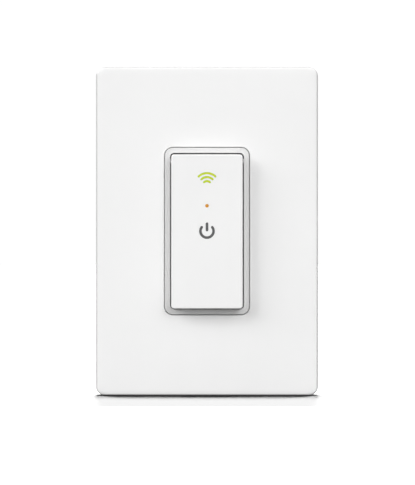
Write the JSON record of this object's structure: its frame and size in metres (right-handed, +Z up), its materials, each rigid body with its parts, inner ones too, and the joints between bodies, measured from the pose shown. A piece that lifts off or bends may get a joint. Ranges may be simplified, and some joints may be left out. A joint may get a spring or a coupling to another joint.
{
  "type": "smart light switch",
  "caption": "Screwless wall plate with one proud rocker paddle, lit symbols, and a deep rear housing on a mounting strap.",
  "frame": {"origin": "middle of the switch on the wall's surface, in the plane of the plate's rear rim", "axes": "+X to the right as seen from the room, +Y into the wall, +Z up"},
  "size_m": [0.088, 0.048, 0.13],
  "materials": {
    "plate_white": "fine satin",
    "paddle_white": "fine satin",
    "frame_white": "moulded",
    "strap_steel": "zinc plated",
    "screw_steel": "zinc plated",
    "fibre": "vulcanised fibre",
    "earth_green": "green passivated",
    "signal_green": "clear tinted",
    "status_amber": "clear tinted",
    "symbol_grey": "inlaid",
    "spring_steel": "drawn wire",
    "housing_grey": "fine spark texture",
    "insulation": "sheet",
    "board_green": "solder mask",
    "module_blue": "solder mask",
    "tinplate": "tinned",
    "component_black": "moulded",
    "lamp_white": "clear epoxy",
    "brass": "stamped",
    "clamp_steel": "zinc plated",
    "silver_screw": "nickel plated",
    "sleeve": "shrink sleeve",
    "coated_blue": "dipped",
    "core_yellow": "taped"
  },
  "bodies": {
    "device": {"wall_plate": "plate_white", "plate_frame": "frame_white", "mounting_strap": "strap_steel", "box_screws": "screw_steel", "plate_screws": "screw_steel", "screw_retainers": "fibre", "ground_screw": "earth_green", "front_frame": "frame_white", "return_spring": "spring_steel", "tact_switch": "component_black", "insulating_sheet": "insulation", "control_board": "board_green", "signal_led": "lamp_white", "status_led": "lamp_white", "wifi_module": "module_blue", "shield_can": "tinplate", "board_header": "component_black", "power_board": "board_green", "relay": "component_black", "transformer": "core_yellow", "bulk_capacitor": "sleeve", "varistor": "coated_blue", "fuse": "component_black", "rectifier": "component_black", "rear_housing": "housing_grey", "housing_screws": "screw_steel", "line_terminal": "brass", "load_terminal": "brass", "neutral_terminal": "brass", "line_clamp": "clamp_steel", "load_clamp": "clamp_steel", "neutral_clamp": "clamp_steel", "line_screw": "brass", "load_screw": "brass", "neutral_screw": "silver_screw"},
    "rocker": {"paddle": "paddle_white", "signal_lens": "signal_green", "status_lens": "status_amber", "power_symbol": "symbol_grey"},
    "plunger": {"tact_plunger": "component_black"}
  },
  "joints": [
    {"name": "paddle_hinge", "type": "hinge", "parent": "device", "child": "rocker", "pos_m": [0, -0.0056, 0.02776], "axis": [1, 0, 0], "range_deg": [0, 1], "stiffness_Nm_per_rad": 2.85, "springref_deg": -1.72, "deforming": ["return_spring"]},
    {"name": "plunger_slide", "type": "slide", "parent": "device", "child": "plunger", "axis": [0, 1, 0], "range_m": [0, 0.00065]}
  ],
  "couplings": [
    {"joint": "plunger_slide", "follows": "paddle_hinge", "m_per_rad": 0.0338}
  ]
}
